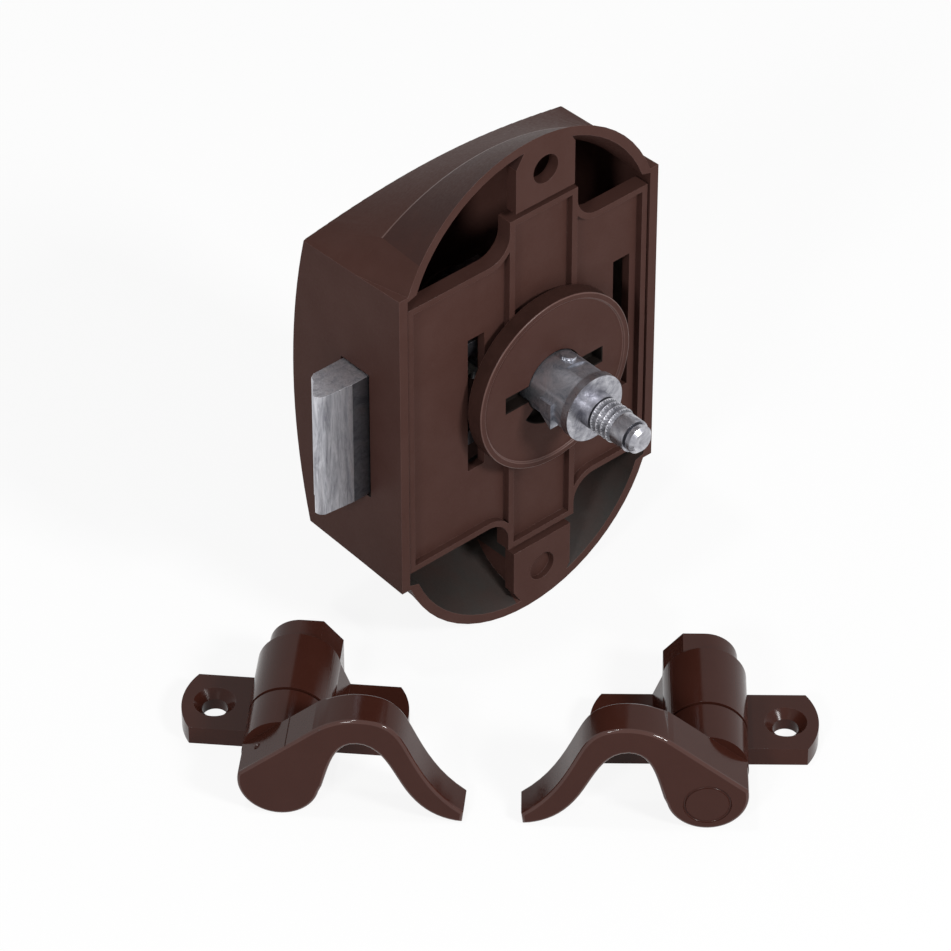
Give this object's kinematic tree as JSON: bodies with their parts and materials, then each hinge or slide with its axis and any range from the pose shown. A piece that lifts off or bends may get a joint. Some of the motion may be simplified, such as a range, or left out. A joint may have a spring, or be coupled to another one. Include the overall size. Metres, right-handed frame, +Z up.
{
  "type": "push lock",
  "caption": "Push lock for a cupboard door, with a sliding spindle that draws a side bolt, and a pair of sprung hooks on brackets.",
  "frame": {"origin": "on the spindle axis, in the plane of the case's rim, which lies on the door's inner face", "axes": "-Y along the spindle into the door, -X the way the bolt comes out, +Z up along the case's length"},
  "size_m": [0.0785, 0.0742, 0.0784],
  "materials": {
    "case_plastic": "fine matte texture",
    "chassis_plastic": "matte with moulding marks",
    "disc_plastic": "matte with turning marks",
    "hook_plastic": "satin gloss",
    "spindle_zinc": "die cast, tumbled",
    "bolt_zinc": "die cast, mottled",
    "steel": "drawn",
    "acetal": "smooth"
  },
  "bodies": {
    "case": {"case_cover": "case_plastic", "chassis_plate": "chassis_plastic", "guide_disc": "disc_plastic", "bolt_springs": "steel", "spindle_spring": "steel", "left_hook_bracket": "hook_plastic", "left_hook_spring": "steel", "right_hook_bracket": "hook_plastic", "right_hook_spring": "steel"},
    "spindle_group": {"spindle": "spindle_zinc", "carriage": "acetal", "cross_pin": "steel", "retaining_clip": "steel"},
    "bolt_group": {"bolt": "bolt_zinc"},
    "latch_group": {"latch_wire": "steel"},
    "left_lever_group": {"left_hook_lever": "hook_plastic", "left_hook_pivot": "steel", "left_hook_ring": "steel"},
    "right_lever_group": {"right_hook_lever": "hook_plastic", "right_hook_pivot": "steel", "right_hook_ring": "steel"}
  },
  "joints": [
    {"name": "spindle_slide", "type": "slide", "parent": "case", "child": "spindle_group", "axis": [0, -1, 0], "range_m": [0, 0.008], "deforming": ["spindle_spring"]},
    {"name": "bolt_slide", "type": "slide", "parent": "case", "child": "bolt_group", "axis": [1, 0, 0], "range_m": [0, 0.008], "deforming": ["bolt_springs"]},
    {"name": "latch_wire_swing", "type": "hinge", "parent": "case", "child": "latch_group", "pos_m": [0.0095, 0.0056, 0], "axis": [1, 0, 0], "range_deg": [0, 12]},
    {"name": "left_lever_turn", "type": "hinge", "parent": "case", "child": "left_lever_group", "pos_m": [-0.0417, 0.0026, -0.0337], "axis": [-0.7314, -0.682, 0], "range_deg": [0, 55], "stiffness_Nm_per_rad": 0.01, "springref_deg": -22.92, "deforming": ["left_hook_spring"]},
    {"name": "right_lever_turn", "type": "hinge", "parent": "case", "child": "right_lever_group", "pos_m": [-0.0028, -0.0354, -0.0337], "axis": [0.6691, 0.7431, 0], "range_deg": [0, 55], "stiffness_Nm_per_rad": 0.01, "springref_deg": -22.92, "deforming": ["right_hook_spring"]}
  ],
  "couplings": [
    {"joint": "bolt_slide", "follows": "spindle_slide", "ratio": 1}
  ]
}
